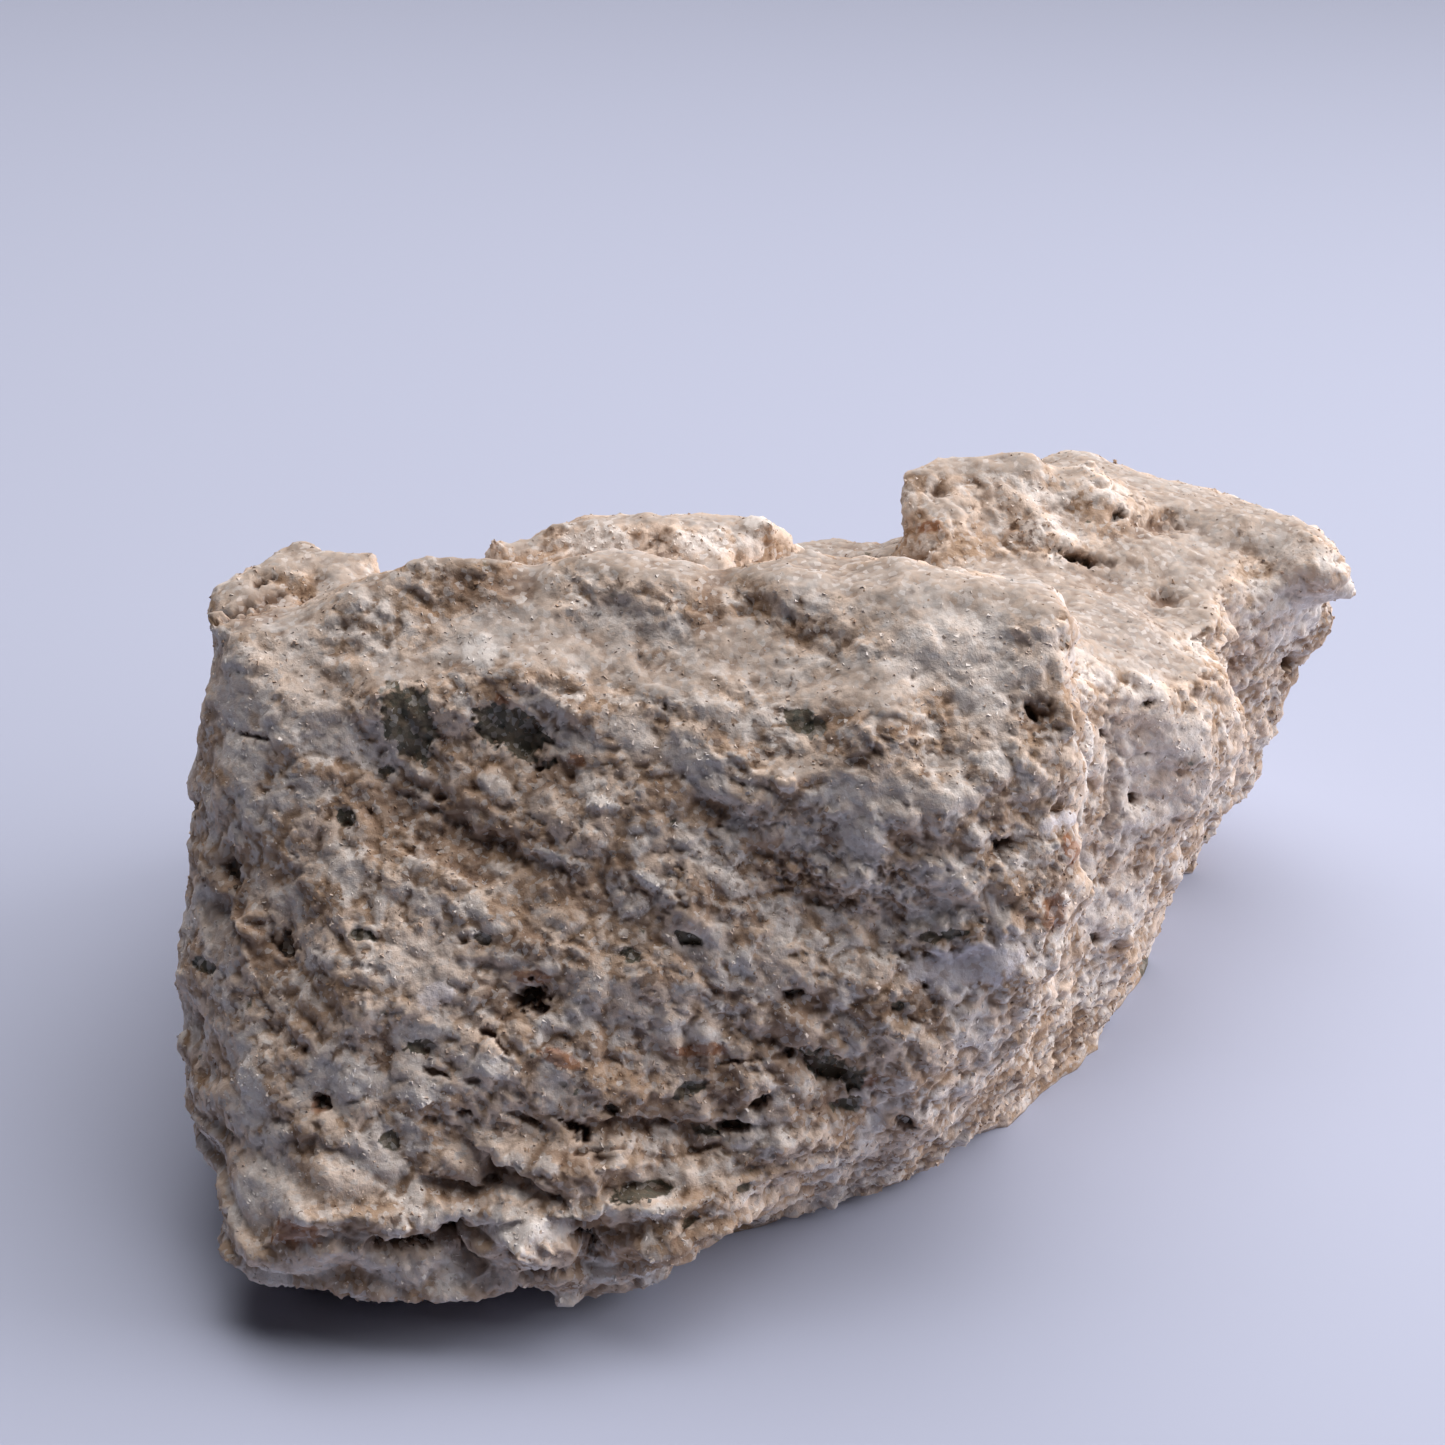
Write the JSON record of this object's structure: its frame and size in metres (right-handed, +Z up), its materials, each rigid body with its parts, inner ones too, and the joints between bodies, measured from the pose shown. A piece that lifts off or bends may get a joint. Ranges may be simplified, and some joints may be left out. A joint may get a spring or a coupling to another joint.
{
  "type": "calcite specimen",
  "caption": "Rough hand specimen of white to tan calcite rock with a leaning broken face, a crystal crust and a flat underside to rest on.",
  "frame": {"origin": "on the floor below the middle of the specimen's box, at the level of its flat underside", "axes": "+X along the specimen towards its rear lobe, -Y out of the broken front face, +Z up"},
  "size_m": [0.112, 0.093, 0.0546],
  "materials": {
    "calcite": "rough broken sugary calcite, cream to tan, with dark green-grey and rust spots"
  },
  "bodies": {
    "root": {"calcite_rock": "calcite"}
  },
  "joints": []
}
